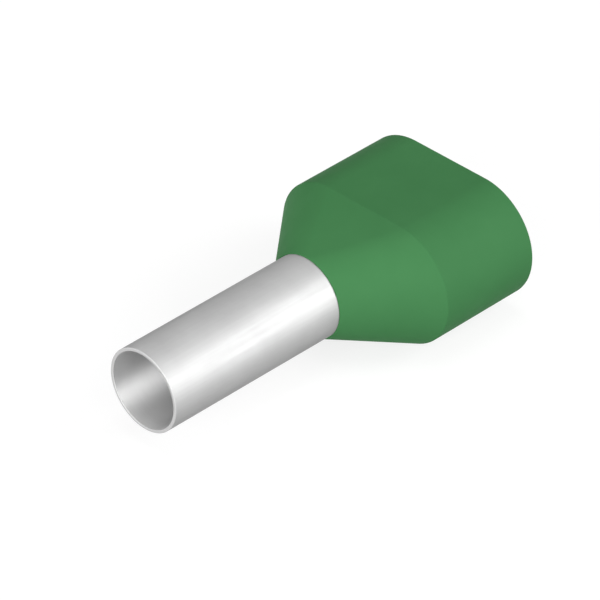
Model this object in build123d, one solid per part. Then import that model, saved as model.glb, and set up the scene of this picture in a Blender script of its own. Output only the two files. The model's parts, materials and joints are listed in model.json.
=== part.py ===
from build123d import *
import os

# A twin wire ferrule: a thin plated copper sleeve, crimped on two stranded conductors
# at once, in a moulded collar whose oval mouth takes both insulations side by side.
# Millimetres. The origin is on the sleeve's axis at the collar's front face. +X runs
# from the sleeve's tip to the collar's mouth, Y is the wide way, and +Z is up.

# Sleeve: a straight tube whose rear end opens into a flare inside the collar
SLEEVE_DIAMETER = 4.9
SLEEVE_WALL = 0.2
SLEEVE_REACH = 12.0
SLEEVE_EDGE_RADIUS = 0.04
SEAT_LENGTH = 2.0
FLARE_ANGLE = 30.0
FLARE_BEND_RADIUS = 0.5
FLARE_LENGTH = 0.55

# Collar: a taper from round to oval, and a straight oval stretch behind it
COLLAR_LENGTH = 11.0
TAPER_LENGTH = 4.4
COLLAR_WIDTH = 12.4
COLLAR_HEIGHT = 7.2
COLLAR_WALL = 0.4
FRONT_LIP = 0.05
RIM_RADIUS = 0.1

# Radial room between the sleeve and its seat in the collar
SEAT_CLEARANCE = 0.01

SLEEVE_RADIUS = SLEEVE_DIAMETER / 2
SEAT_RADIUS = SLEEVE_RADIUS + SEAT_CLEARANCE
CHAMBER_WIDTH = COLLAR_WIDTH - 2 * COLLAR_WALL
CHAMBER_HEIGHT = COLLAR_HEIGHT - 2 * COLLAR_WALL
CHAMBER_FRONT = TAPER_LENGTH + COLLAR_WALL
CHAMBER_LENGTH = COLLAR_LENGTH - CHAMBER_FRONT


def flared_line(front_x, radius, bend_radius):
    """Straight line, bend and flare of a tube's side, with the radius as the height."""
    straight = Line((front_x, radius), (SEAT_LENGTH, radius))
    bend = JernArc(straight @ 1, straight % 1, bend_radius, FLARE_ANGLE)
    flare = PolarLine(bend @ 1, FLARE_LENGTH, FLARE_ANGLE)
    return straight + bend + flare


def turned(outline):
    """Solid of an outline in the X-Z half plane, turned about the X axis."""
    return revolve(Plane.XZ * make_face(outline), Axis.X)


def sleeve():
    """Thin tube with its flare, and both edges of its cut tip rounded."""
    outside = flared_line(-SLEEVE_REACH, SLEEVE_RADIUS, FLARE_BEND_RADIUS)
    inside = flared_line(
        -SLEEVE_REACH, SLEEVE_RADIUS - SLEEVE_WALL, FLARE_BEND_RADIUS + SLEEVE_WALL
    )
    tip = Line(inside @ 0, outside @ 0)
    rear_end = Line(outside @ 1, inside @ 1)
    tube = turned(outside + rear_end + inside + tip)
    tip_edges = tube.edges().filter_by(GeomType.CIRCLE).group_by(Axis.X)[0]
    return fillet(tip_edges, SLEEVE_EDGE_RADIUS)


def oval_stretch(front_x, length, width, height):
    """Straight body with an oval section: two half circles joined by flat sides."""
    return extrude(Plane.YZ.offset(front_x) * SlotOverall(width, height), length)


def round_to_oval(front_x, front_radius, rear_x, width, height):
    """Body ruled from a circle to an oval: a flat triangle above and below, where the
    circle's top and bottom points meet the oval's straight sides, and half an oblique
    cone on the left and right.
    """
    centre_shift = (width - height) / 2
    front = Plane.YZ.offset(front_x)
    rear = Plane.YZ.offset(rear_x)
    rear_face = (rear * SlotOverall(width, height)).face()
    front_face = (front * Circle(front_radius)).face()
    faces = []
    for turn, side in ((-90, 1), (90, -1)):
        small_arc = front * CenterArc((0, 0), front_radius, turn, 180)
        large_arc = rear * CenterArc((side * centre_shift, 0), height / 2, turn, 180)
        faces.append(Face.make_surface_from_curves(small_arc.edge(), large_arc.edge()))
    for side in (1, -1):
        peak = front.from_local_coords(Vector(0, side * front_radius))
        left = rear.from_local_coords(Vector(-centre_shift, side * height / 2))
        right = rear.from_local_coords(Vector(centre_shift, side * height / 2))
        faces.append(Face(Wire.make_polygon([peak, left, right])))
    return Solid(Shell([*faces, front_face, rear_face]))


def sleeve_seat():
    """Room for the sleeve and its flare, from the collar's front face."""
    side = flared_line(0, SEAT_RADIUS, FLARE_BEND_RADIUS - SEAT_CLEARANCE)
    flare_end = side @ 1
    rear_end = Line(flare_end, (flare_end.X, 0))
    axis_line = Line((flare_end.X, 0), (0, 0))
    front_end = Line((0, 0), side @ 0)
    return turned(side + rear_end + axis_line + front_end), flare_end


def collar():
    """Moulded collar: seat, funnel and chamber cut from the round-to-oval body."""
    front_radius = SEAT_RADIUS + FRONT_LIP
    body = round_to_oval(0, front_radius, TAPER_LENGTH, COLLAR_WIDTH, COLLAR_HEIGHT)
    body += oval_stretch(
        TAPER_LENGTH, COLLAR_LENGTH - TAPER_LENGTH, COLLAR_WIDTH, COLLAR_HEIGHT
    )
    seat, flare_end = sleeve_seat()
    body -= seat
    body -= round_to_oval(
        flare_end.X, flare_end.Y, CHAMBER_FRONT, CHAMBER_WIDTH, CHAMBER_HEIGHT
    )
    body -= oval_stretch(CHAMBER_FRONT, CHAMBER_LENGTH, CHAMBER_WIDTH, CHAMBER_HEIGHT)
    mouth_edges = body.edges().group_by(Axis.X)[-1]
    return fillet(mouth_edges, RIM_RADIUS)


os.makedirs("parts", exist_ok=True)
export_step(sleeve(), "parts/sleeve.step")
export_step(collar(), "parts/collar.step")
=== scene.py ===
"""Twin wire ferrule: a tin-plated crimp sleeve in a moulded green collar, dressed for a look."""

import json
import logging
import math
from dataclasses import dataclass
from enum import IntEnum

import bmesh
import bpy
from mathutils import Matrix, Vector


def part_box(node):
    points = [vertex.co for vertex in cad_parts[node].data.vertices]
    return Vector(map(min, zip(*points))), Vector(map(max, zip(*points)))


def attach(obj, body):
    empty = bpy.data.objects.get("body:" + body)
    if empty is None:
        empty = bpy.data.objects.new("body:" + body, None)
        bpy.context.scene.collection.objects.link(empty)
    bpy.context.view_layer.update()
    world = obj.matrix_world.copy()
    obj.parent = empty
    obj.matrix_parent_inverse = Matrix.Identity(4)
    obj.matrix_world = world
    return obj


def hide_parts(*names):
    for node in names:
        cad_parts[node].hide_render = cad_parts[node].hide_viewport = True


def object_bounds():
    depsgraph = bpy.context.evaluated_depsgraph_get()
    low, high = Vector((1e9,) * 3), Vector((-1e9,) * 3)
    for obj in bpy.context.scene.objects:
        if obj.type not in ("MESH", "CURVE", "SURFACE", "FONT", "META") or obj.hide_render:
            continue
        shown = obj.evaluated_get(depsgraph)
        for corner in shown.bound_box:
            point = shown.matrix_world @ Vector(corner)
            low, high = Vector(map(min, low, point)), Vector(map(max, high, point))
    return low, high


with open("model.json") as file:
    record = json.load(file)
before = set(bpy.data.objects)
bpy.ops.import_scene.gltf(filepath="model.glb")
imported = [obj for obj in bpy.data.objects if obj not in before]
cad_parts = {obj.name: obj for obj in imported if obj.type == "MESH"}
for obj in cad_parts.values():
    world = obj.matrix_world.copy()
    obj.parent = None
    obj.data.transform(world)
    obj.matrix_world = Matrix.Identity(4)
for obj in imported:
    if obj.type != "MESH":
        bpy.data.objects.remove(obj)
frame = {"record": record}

LOG = logging.getLogger("ferrule")
CAD_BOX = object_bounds()

MM = 0.001
X_AXIS = Vector((1, 0, 0))
Y_AXIS = Vector((0, 1, 0))
Z_AXIS = Vector((0, 0, 1))
ORIGIN = Vector((0, 0, 0))
FULL_TURN = 2 * math.pi
MERGE_DISTANCE = 0.0005 * MM
WHITE = (1, 1, 1, 1)

# An edge that bends more than this is shaded as a corner
CRISP_ANGLE = math.radians(35)

# Nearly all of a noise's values lie between these two
NOISE_RANGE = {"From Min": 0.2, "From Max": 0.8}

# A Mix node has sockets of the same name for each kind of value, so those for colours go
# by number
MIX_FACTOR = 0
MIX_FIRST_COLOUR = 6
MIX_SECOND_COLOUR = 7
MIX_RESULT_COLOUR = 2


def mount_size(name: str, key: str) -> float:
    """Reads a mount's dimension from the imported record.

    Args:
        name: the mount's name.
        key: the dimension's key, in millimetres there.

    Returns:
        The dimension in metres.
    """
    mounts = {mount["name"]: mount for mount in frame["record"]["mounts"]}
    return mounts[name]["dims"][key] * MM


def linear(hex_colour: str) -> tuple[float, float, float, float]:
    """Turns an sRGB hex colour to linear light, by the curve of the sRGB standard.

    Args:
        hex_colour: six hex digits after a hash sign.

    Returns:
        Red, green, blue and an alpha of 1.
    """
    parts = [int(hex_colour[i:i + 2], 16) / 255 for i in (1, 3, 5)]
    light = [c / 12.92 if c <= 0.04045 else ((c + 0.055) / 1.055) ** 2.4 for c in parts]
    return (light[0], light[1], light[2], 1.0)


def add_node(tree: bpy.types.NodeTree, kind: str, settings: dict[str | int, object],
             links: dict[str | int, bpy.types.NodeSocket]) -> bpy.types.Node:
    """Adds a shader node with its settings and the links into it.

    Args:
        tree: the node tree of a material or a world.
        kind: the node's type name.
        settings: values for the node's own attributes, or else for its inputs.
        links: the output socket that feeds each named or numbered input.

    Returns:
        The new node.
    """
    node = tree.nodes.new(kind)
    for key, value in settings.items():
        if isinstance(key, str) and hasattr(node, key):
            setattr(node, key, value)
        else:
            node.inputs[key].default_value = value
    for key, socket in links.items():
        tree.links.new(socket, node.inputs[key])
    return node


def new_material(name: str) -> tuple[bpy.types.Material, bpy.types.Node]:
    """Starts a material.

    Args:
        name: the real material's name.

    Returns:
        The material and its principled shader.
    """
    material = bpy.data.materials.new(name)
    material.use_nodes = True
    return material, material.node_tree.nodes["Principled BSDF"]


def finish_piece(shell: bmesh.types.BMesh, name: str, node: str,
                 materials: list[bpy.types.Material]) -> bpy.types.Object:
    """Turns a bmesh into a smooth-shaded piece that stands for a node of the model.

    Args:
        shell: the finished bmesh, which is freed.
        name: the piece's name.
        node: the node that it replaces.
        materials: its finishes, in the order of the faces' own numbers.

    Returns:
        The new object.
    """
    bmesh.ops.recalc_face_normals(shell, faces=shell.faces)
    for face in shell.faces:
        face.smooth = True
    for edge in shell.edges:
        edge.smooth = edge.calc_face_angle(0) < CRISP_ANGLE
    mesh = bpy.data.meshes.new(name)
    shell.to_mesh(mesh)
    shell.free()
    for material in materials:
        mesh.materials.append(material)
    piece = bpy.data.objects.new(name, mesh)
    bpy.context.scene.collection.objects.link(piece)
    flats = piece.modifiers.new("flats_stay_flat", "WEIGHTED_NORMAL")
    flats.keep_sharp = True
    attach(piece, "root")
    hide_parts(node)
    return piece


@dataclass(frozen=True)
class Pattern:
    """Noise whose grains have a size in metres along X, Y and Z."""

    size: tuple[float, float, float]
    octaves: float = 2.0

    def noise(self, tree: bpy.types.NodeTree) -> bpy.types.NodeSocket:
        """Adds the noise, fixed to the piece.

        Args:
            tree: the material's node tree.

        Returns:
            The noise's value, about 0.5 on average.
        """
        where = add_node(tree, "ShaderNodeTexCoord", {}, {})
        placed = add_node(tree, "ShaderNodeMapping", {"Scale": [1 / size for size in self.size]}, {
            "Vector": where.outputs["Object"],
        })
        return add_node(tree, "ShaderNodeTexNoise", {"Scale": 1.0, "Detail": self.octaves}, {
            "Vector": placed.outputs["Vector"],
        }).outputs["Fac"]


@dataclass(frozen=True)
class Finish:
    """Surface whose colour drifts in clouds and whose sheen varies in patches, over a grain."""

    name: str
    dark: str
    pale: str
    roughness: float
    roughness_reach: float
    clouds: Pattern
    patches: Pattern
    grain: Pattern
    grain_depth: float
    grain_strength: float

    def dress(self, tree: bpy.types.NodeTree, shader: bpy.types.Node) -> None:
        """Sets what only this finish has.

        Args:
            tree: the material's node tree.
            shader: its principled shader.
        """
        raise NotImplementedError

    def material(self) -> bpy.types.Material:
        """Builds the material, in which equal patterns share one noise.

        Returns:
            The material, under its real name.
        """
        material, shader = new_material(self.name)
        tree = material.node_tree
        patterns = {self.clouds, self.patches, self.grain}
        noises = {pattern: pattern.noise(tree) for pattern in patterns}
        drift = add_node(tree, "ShaderNodeMapRange", NOISE_RANGE, {"Value": noises[self.clouds]})
        colour = add_node(tree, "ShaderNodeMix", {
            "data_type": "RGBA",
            MIX_FIRST_COLOUR: linear(self.dark),
            MIX_SECOND_COLOUR: linear(self.pale),
        }, {
            MIX_FACTOR: drift.outputs["Result"],
        })
        sheen = add_node(tree, "ShaderNodeMapRange", {
            **NOISE_RANGE,
            "To Min": self.roughness - self.roughness_reach,
            "To Max": self.roughness + self.roughness_reach,
        }, {
            "Value": noises[self.patches],
        })
        relief = add_node(tree, "ShaderNodeBump", {
            "Distance": self.grain_depth,
            "Strength": self.grain_strength,
        }, {
            "Height": noises[self.grain],
        })
        tree.links.new(colour.outputs[MIX_RESULT_COLOUR], shader.inputs["Base Color"])
        tree.links.new(sheen.outputs["Result"], shader.inputs["Roughness"])
        tree.links.new(relief.outputs["Normal"], shader.inputs["Normal"])
        self.dress(tree, shader)
        return material


@dataclass(frozen=True)
class TinPlate(Finish):
    """Matt tin, plated on the outside of a copper tube that was drawn through a die.

    It gives the eye a satin silver. The die's marks run along the tube and stretch each
    highlight round it, and the plating clouds the silver a little.
    """

    name: str = "tin_plated_copper"
    dark: str = "#a6a6a6"
    pale: str = "#adadad"
    roughness: float = 0.55
    roughness_reach: float = 0.04
    clouds: Pattern = Pattern((1.6 * MM, 1.6 * MM, 1.6 * MM), octaves=3.0)
    # The die's marks, drawn coarser than their few hundredths of a millimetre to show at all
    patches: Pattern = Pattern((5 * MM, 0.16 * MM, 0.16 * MM))
    grain: Pattern = patches
    grain_depth: float = 0.006 * MM
    grain_strength: float = 0.15
    # Holds back the white surroundings where they are mirrored at a low angle
    edge_colour: str = "#464646"
    stretch: float = 0.45
    turn: float = 0.0

    def dress(self, tree: bpy.types.NodeTree, shader: bpy.types.Node) -> None:
        """Makes it a metal whose highlights stretch one way.

        Args:
            tree: the material's node tree.
            shader: its principled shader.
        """
        around = add_node(tree, "ShaderNodeTangent", {"direction_type": "RADIAL", "axis": "X"}, {})
        tree.links.new(around.outputs["Tangent"], shader.inputs["Tangent"])
        shader.inputs["Metallic"].default_value = 1.0
        shader.inputs["Specular Tint"].default_value = linear(self.edge_colour)
        shader.inputs["Anisotropic"].default_value = self.stretch
        shader.inputs["Anisotropic Rotation"].default_value = self.turn


@dataclass(frozen=True)
class TinBore(TinPlate):
    """The same tin inside the tube, where it was drawn over a plug.

    Its colour is painted paler than the outside tin's. This is painted light inside the tube,
    which the lamps barely reach. It gives the eye a paler silver, with one soft stripe
    that fades into the tube's depth.
    """

    name: str = "tin_plated_bore_painted_lighter"
    # Paler than the outside tin: painted light that stands in for lamp light barely reaching
    # inside the tube
    dark: str = "#cacaca"
    pale: str = "#d2d2d2"
    roughness: float = 0.70
    # The plug's faint rings, also drawn coarser than real to show at all
    patches: Pattern = Pattern((0.15 * MM, 4 * MM, 4 * MM))
    grain: Pattern = patches
    stretch: float = 0.88
    turn: float = 0.25


@dataclass(frozen=True)
class CutEdge(Finish):
    """Tin-plated ring where the tube was cut off square.

    It gives the eye an even, pale line round the opening: as silvery as the tube, but matt
    and with no direction in its sheen.
    """

    name: str = "tin_plated_cut_edge"
    dark: str = "#adadad"
    pale: str = "#b7b7b7"
    roughness: float = 0.6
    roughness_reach: float = 0.05
    clouds: Pattern = Pattern((0.05 * MM, 0.05 * MM, 0.05 * MM))
    patches: Pattern = clouds
    grain: Pattern = clouds
    grain_depth: float = 0.002 * MM
    grain_strength: float = 0.2

    def dress(self, tree: bpy.types.NodeTree, shader: bpy.types.Node) -> None:
        """Makes it a metal.

        Args:
            tree: the material's node tree, which stays as it is.
            shader: its principled shader.
        """
        shader.inputs["Metallic"].default_value = 1.0


@dataclass(frozen=True)
class GreenPolypropylene(Finish):
    """Polypropylene, dyed through and injection-moulded in a finely eroded mould.

    It gives the eye an even green with next to no gloss, because the mould's grain breaks
    its sheen up.
    """

    name: str = "moulded_green_polypropylene"
    dark: str = "#3c7044"
    pale: str = "#407548"
    roughness: float = 0.55
    roughness_reach: float = 0.06
    clouds: Pattern = Pattern((3 * MM, 3 * MM, 3 * MM), octaves=3.0)
    patches: Pattern = Pattern((0.6 * MM, 0.6 * MM, 0.6 * MM))
    # The mould's grain, drawn coarser than its few hundredths of a millimetre to show at all
    grain: Pattern = Pattern((0.18 * MM, 0.18 * MM, 0.18 * MM))
    grain_depth: float = 0.015 * MM
    grain_strength: float = 0.3
    gloss: float = 0.02
    index: float = 1.49

    def dress(self, tree: bpy.types.NodeTree, shader: bpy.types.Node) -> None:
        """Gives it the plastic's index and its low gloss.

        Args:
            tree: the material's node tree, which stays as it is.
            shader: its principled shader.
        """
        shader.inputs["IOR"].default_value = self.index
        shader.inputs["Specular IOR Level"].default_value = self.gloss


class SleeveFinish(IntEnum):
    """The sleeve's finishes, in the order of its materials."""

    OUTSIDE = 0
    CUT = 1
    BORE = 2


@dataclass(frozen=True)
class Flare:
    """Opened rear end of the sleeve, with the bend's radius on its outer side."""

    angle: float = math.radians(30)
    length: float = 0.55 * MM
    bend_radius: float = 0.5 * MM


@dataclass
class Sleeve:
    """Thin tube with a cut tip and, inside the collar, a rear end that opens into a flare."""

    radius: float = mount_size("crimp_sleeve", "r_mm")
    bore: float = mount_size("conductor_bore", "r_mm")
    tip_x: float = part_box("sleeve")[0].x
    bend_x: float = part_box("sleeve")[0].x + mount_size("conductor_bore", "length_mm")
    flare: Flare = Flare()
    edge_radius: float = 0.04 * MM
    edge_steps: int = 4
    bend_steps: int = 8
    turn_steps: int = 192

    def side_line(self, shell: bmesh.types.BMesh, radius: float,
                  bend_radius: float) -> list[bmesh.types.BMVert]:
        """Draws one side of the wall: straight, round the bend and along the flare.

        Args:
            shell: the bmesh that the line is drawn in.
            radius: the straight stretch's distance from the axis.
            bend_radius: the bend's radius on this side of the wall.

        Returns:
            The vertices at the tip and at the flare's end.
        """
        tip = bmesh.ops.create_vert(shell, co=(self.tip_x, 0, radius))["vert"][0]
        bend = bmesh.ops.extrude_vert_indiv(shell, verts=[tip])["verts"]
        bmesh.ops.translate(shell, verts=bend, vec=X_AXIS * (self.bend_x - self.tip_x))
        turned = bmesh.ops.spin(
            shell, geom=bend, cent=(self.bend_x, 0, radius + bend_radius), axis=-Y_AXIS,
            angle=self.flare.angle, steps=self.bend_steps, use_merge=False,
        )["geom_last"]
        end = bmesh.ops.extrude_vert_indiv(shell, verts=turned)["verts"]
        along = Vector((math.cos(self.flare.angle), 0, math.sin(self.flare.angle)))
        bmesh.ops.translate(shell, verts=end, vec=along * self.flare.length)
        return [tip, end[0]]

    def finish_of(self, face: bmesh.types.BMFace) -> SleeveFinish:
        """Tells which finish a face of the wall wears.

        Args:
            face: the face, with its normal pointing out of the wall.

        Returns:
            The finish. The tip's rounded edges were made with the cut, so they wear the cut's.
        """
        middle = face.calc_center_median()
        if middle.x < self.tip_x + self.edge_radius:
            return SleeveFinish.CUT
        faces_axis = face.normal.dot(middle * Vector((0, 1, 1))) < 0
        return SleeveFinish.BORE if faces_axis else SleeveFinish.OUTSIDE

    def build(self) -> bpy.types.Object:
        """Draws the wall's outline, rounds its four corners and turns it about the axis.

        Returns:
            The finished sleeve.
        """
        shell = bmesh.new()
        wall = self.radius - self.bore
        outside = self.side_line(shell, self.radius, self.flare.bend_radius)
        inside = self.side_line(shell, self.bore, self.flare.bend_radius + wall)
        for ends in zip(outside, inside):
            bmesh.ops.contextual_create(shell, geom=list(ends))
        bmesh.ops.bevel(
            shell, geom=outside + inside, offset=self.edge_radius, offset_type="OFFSET",
            segments=self.edge_steps, profile=0.5, affect="VERTICES", material=-1,
        )
        bmesh.ops.spin(
            shell, geom=shell.verts[:] + shell.edges[:], cent=ORIGIN, axis=X_AXIS,
            angle=FULL_TURN, steps=self.turn_steps, use_merge=True,
        )
        bmesh.ops.recalc_face_normals(shell, faces=shell.faces)
        for face in shell.faces:
            face.material_index = self.finish_of(face)
        return finish_piece(
            shell, "plated_sleeve", "sleeve",
            [TinPlate().material(), CutEdge().material(), TinBore().material()],
        )


@dataclass(frozen=True)
class Ring:
    """One cross-section of the collar: a circle whose halves may be moved apart to an oval."""

    x: float
    radius: float
    shift: float = 0.0
    bevel: float = 0.0


@dataclass
class Collar:
    """Moulded body that goes from round to a flat-sided oval, open at both ends."""

    sleeve: Sleeve
    half_width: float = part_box("collar")[1].y
    half_height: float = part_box("collar")[1].z
    mouth_x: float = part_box("collar")[1].x
    taper_length: float = 4.4 * MM
    wall: float = 0.4 * MM
    front_lip: float = 0.05 * MM
    # Closer than the solids' 0.01 mm, which would draw a dark line round the sleeve
    seat_clearance: float = 0.002 * MM
    rim_radius: float = 0.1 * MM
    # The taper's corners, which the solids leave sharp
    crease_radius: float = 0.03 * MM
    corner_steps: int = 4
    turn_steps: int = 192

    def rings(self) -> list[Ring]:
        """Works out where the collar's outline turns a corner.

        Returns:
            The sections in order: back along the outside to the mouth, then forward inside.
        """
        flare = self.sleeve.flare
        seat = self.sleeve.radius + self.seat_clearance
        bend = (flare.bend_radius - self.seat_clearance) * math.tan(flare.angle / 2)
        bend_x = self.sleeve.bend_x + bend
        flare_length = bend + flare.length
        flare_x = bend_x + flare_length * math.cos(flare.angle)
        flare_radius = seat + flare_length * math.sin(flare.angle)
        shift = self.half_width - self.half_height
        inner = self.half_height - self.wall
        return [
            Ring(0, seat + self.front_lip),
            Ring(self.taper_length, self.half_height, shift, self.crease_radius),
            Ring(self.mouth_x, self.half_height, shift, self.rim_radius),
            Ring(self.mouth_x, inner, shift, self.rim_radius),
            Ring(self.taper_length + self.wall, inner, shift, self.crease_radius),
            Ring(flare_x, flare_radius),
            Ring(bend_x, seat, bevel=bend),
            Ring(0, seat),
        ]

    def first_ring(self, shell: bmesh.types.BMesh, ring: Ring) -> list[bmesh.types.BMEdge]:
        """Makes the round section at the front.

        Args:
            shell: the bmesh that gets it, still empty.
            ring: its place and radius.

        Returns:
            The ring's edges. No vertex lies at the very top or bottom, so the two edges there
            widen into the oval's flat sides when the halves move apart.
        """
        half_step = Matrix.Rotation(math.pi / self.turn_steps, 4, "Z")
        across = Matrix.Translation(X_AXIS * ring.x) @ Matrix.Rotation(math.pi / 2, 4, "Y")
        bmesh.ops.create_circle(
            shell, cap_ends=False, segments=self.turn_steps, radius=ring.radius,
            matrix=across @ half_step,
        )
        return shell.edges[:]

    def next_ring(self, shell: bmesh.types.BMesh, edges: list[bmesh.types.BMEdge], near: Ring,
                  far: Ring) -> list[bmesh.types.BMEdge]:
        """Extrudes one section to the next, so that straight lines join the same angles.

        Args:
            shell: the bmesh being built.
            edges: the edges of the near section.
            near: the section that is extruded.
            far: the section that it becomes.

        Returns:
            The edges of the far section.
        """
        made = bmesh.ops.extrude_edge_only(shell, edges=edges)["geom"]
        verts = {item for item in made if isinstance(item, bmesh.types.BMVert)}
        growth = far.radius / near.radius
        for side in (1, -1):
            half = [vert for vert in verts if vert.co.y * side > 0]
            bmesh.ops.translate(shell, verts=half, vec=Y_AXIS * -side * near.shift)
            bmesh.ops.scale(shell, verts=half, vec=(1, growth, growth))
            bmesh.ops.translate(shell, verts=half, vec=(far.x - near.x, side * far.shift, 0))
        return [
            item for item in made
            if isinstance(item, bmesh.types.BMEdge) and verts.issuperset(item.verts)
        ]

    def build(self) -> bpy.types.Object:
        """Extrudes the sections round into a closed body whose corners are rounded.

        Returns:
            The finished collar.
        """
        shell = bmesh.new()
        rings = self.rings()
        loops = [self.first_ring(shell, rings[0])]
        for near, far in zip(rings, rings[1:]):
            loops.append(self.next_ring(shell, loops[-1], near, far))
        for ring, loop in zip(rings, loops):
            if ring.bevel:
                bmesh.ops.bevel(
                    shell, geom=loop, offset=ring.bevel, offset_type="OFFSET",
                    segments=self.corner_steps, profile=0.5, affect="EDGES", material=-1,
                )
        self.next_ring(shell, loops[-1], rings[-1], rings[0])
        bmesh.ops.remove_doubles(shell, verts=shell.verts, dist=MERGE_DISTANCE)
        return finish_piece(
            shell, "moulded_collar", "collar",
            [GreenPolypropylene().material()],
        )


def away_from_origin(azimuth: float, elevation: float) -> Vector:
    """Gives the direction of a viewer or a lamp.

    Args:
        azimuth: degrees round from straight in front, where the viewer looks along +Y.
        elevation: degrees above the horizon.

    Returns:
        The unit vector from the object towards it.
    """
    turn, rise = math.radians(azimuth), math.radians(elevation)
    return Vector((
        math.sin(turn) * math.cos(rise), -math.cos(turn) * math.cos(rise), math.sin(rise)
    ))


@dataclass(frozen=True)
class Softbox:
    """Square studio lamp that faces the object from one direction."""

    name: str
    azimuth: float
    elevation: float
    level: float
    size: float = 0.15
    distance: float = 0.3

    def place(self) -> None:
        """Adds the lamp. A matt surface square to it gives back its own colour times the level."""
        lamp = bpy.data.lights.new(self.name, "AREA")
        lamp.shape = "SQUARE"
        lamp.size = self.size
        lamp.energy = self.level * math.pi ** 2 * self.distance ** 2
        away = away_from_origin(self.azimuth, self.elevation)
        holder = bpy.data.objects.new(self.name, lamp)
        holder.location = away * self.distance
        holder.rotation_euler = away.to_track_quat("Z", "Y").to_euler()
        bpy.context.scene.collection.objects.link(holder)


@dataclass(frozen=True)
class Studio:
    """Camera, surrounding light, softboxes and a white floor."""

    # The view of an isometric drawing, from so near that the outline falls on the photo's
    azimuth: float = -45.0
    elevation: float = math.degrees(math.atan(1 / math.sqrt(2)))
    distance: float = 264.9 * MM
    lens_mm: float = 299.0
    aim_mm: tuple[float, float, float] = (-0.336, 0.172, -0.164)
    clip_factor: float = 100.0
    surround: float = 0.25
    floor_size: float = 2.4
    floor_grey: float = 0.25
    floor_glow: float = 0.78
    softboxes: tuple[Softbox, ...] = (
        Softbox("rear_high", 180, 45, 0.12),
        Softbox("left_low", -75, 10, 0.98),
        Softbox("far_left", -115, 10, 0.19),
        Softbox("front_low", -45, 10, 0.33),
        Softbox("front_high", -20, 30, 0.14),
        Softbox("overhead", 0, 90, 0.20),
        Softbox("right_low", 35, 10, 0.36),
        Softbox("right_high", 50, 30, 0.40),
        Softbox("right_side", 90, 10, 0.10),
    )

    def camera(self) -> None:
        """Sets the camera at the photograph's viewing angle."""
        data = bpy.data.cameras.new("camera")
        data.lens = self.lens_mm
        data.clip_start = self.distance / self.clip_factor
        data.clip_end = self.distance * self.clip_factor
        back = away_from_origin(self.azimuth, self.elevation)
        holder = bpy.data.objects.new("camera", data)
        holder.location = Vector(self.aim_mm) * MM + back * self.distance
        holder.rotation_euler = back.to_track_quat("Z", "Y").to_euler()
        bpy.context.scene.collection.objects.link(holder)
        bpy.context.scene.camera = holder

    def looked_at(self, tree: bpy.types.NodeTree) -> bpy.types.NodeSocket:
        """Tells the rays that see a background from those that light a surface.

        Args:
            tree: the node tree of the floor or the world.

        Returns:
            A value that is 1 for camera, glossy and transmission rays, and 0 for others.
        """
        path = add_node(tree, "ShaderNodeLightPath", {}, {})
        direct = add_node(tree, "ShaderNodeMath", {"operation": "ADD"}, {
            0: path.outputs["Is Camera Ray"],
            1: path.outputs["Is Glossy Ray"],
        })
        return add_node(tree, "ShaderNodeMath", {"operation": "ADD", "use_clamp": True}, {
            0: direct.outputs[0],
            1: path.outputs["Is Transmission Ray"],
        }).outputs[0]

    def world(self) -> None:
        """Surrounds the scene with a white that lights surfaces less than it shows."""
        sky = bpy.data.worlds.new("studio")
        sky.use_nodes = True
        tree = sky.node_tree
        strength = add_node(tree, "ShaderNodeMapRange", {"To Min": self.surround, "To Max": 1.0}, {
            "Value": self.looked_at(tree),
        })
        backdrop = tree.nodes["Background"]
        backdrop.inputs["Color"].default_value = WHITE
        tree.links.new(strength.outputs["Result"], backdrop.inputs["Strength"])
        bpy.context.scene.world = sky

    def floor(self) -> None:
        """Lays the floor under the collar. It looks white, keeps shadows and bounces little."""
        shell = bmesh.new()
        bmesh.ops.create_grid(shell, x_segments=1, y_segments=1, size=self.floor_size / 2)
        bmesh.ops.translate(shell, verts=shell.verts, vec=Z_AXIS * CAD_BOX[0].z)
        mesh = bpy.data.meshes.new("floor")
        shell.to_mesh(mesh)
        shell.free()
        material, shader = new_material("white_paper")
        tree = material.node_tree
        grey = self.floor_grey
        shader.inputs["Base Color"].default_value = (grey, grey, grey, 1)
        shader.inputs["Roughness"].default_value = 1.0
        shader.inputs["Specular IOR Level"].default_value = 0.0
        shader.inputs["Emission Color"].default_value = WHITE
        glow = add_node(tree, "ShaderNodeMath", {"operation": "MULTIPLY", 1: self.floor_glow}, {
            0: self.looked_at(tree),
        })
        tree.links.new(glow.outputs[0], shader.inputs["Emission Strength"])
        mesh.materials.append(material)
        ground = bpy.data.objects.new("floor", mesh)
        bpy.context.scene.collection.objects.link(ground)

    def build(self) -> None:
        """Sets everything round the object."""
        bpy.context.scene.view_settings.view_transform = "Standard"
        self.camera()
        self.world()
        self.floor()
        for softbox in self.softboxes:
            softbox.place()


def main() -> None:
    """Builds the studio and the two pieces, and logs how many faces each has."""
    Studio().build()
    sleeve = Sleeve()
    for piece in (sleeve.build(), Collar(sleeve).build()):
        LOG.info("%s: %d faces", piece.name, len(piece.data.polygons))


if __name__ == "__main__":
    logging.basicConfig(level=logging.INFO)
    main()
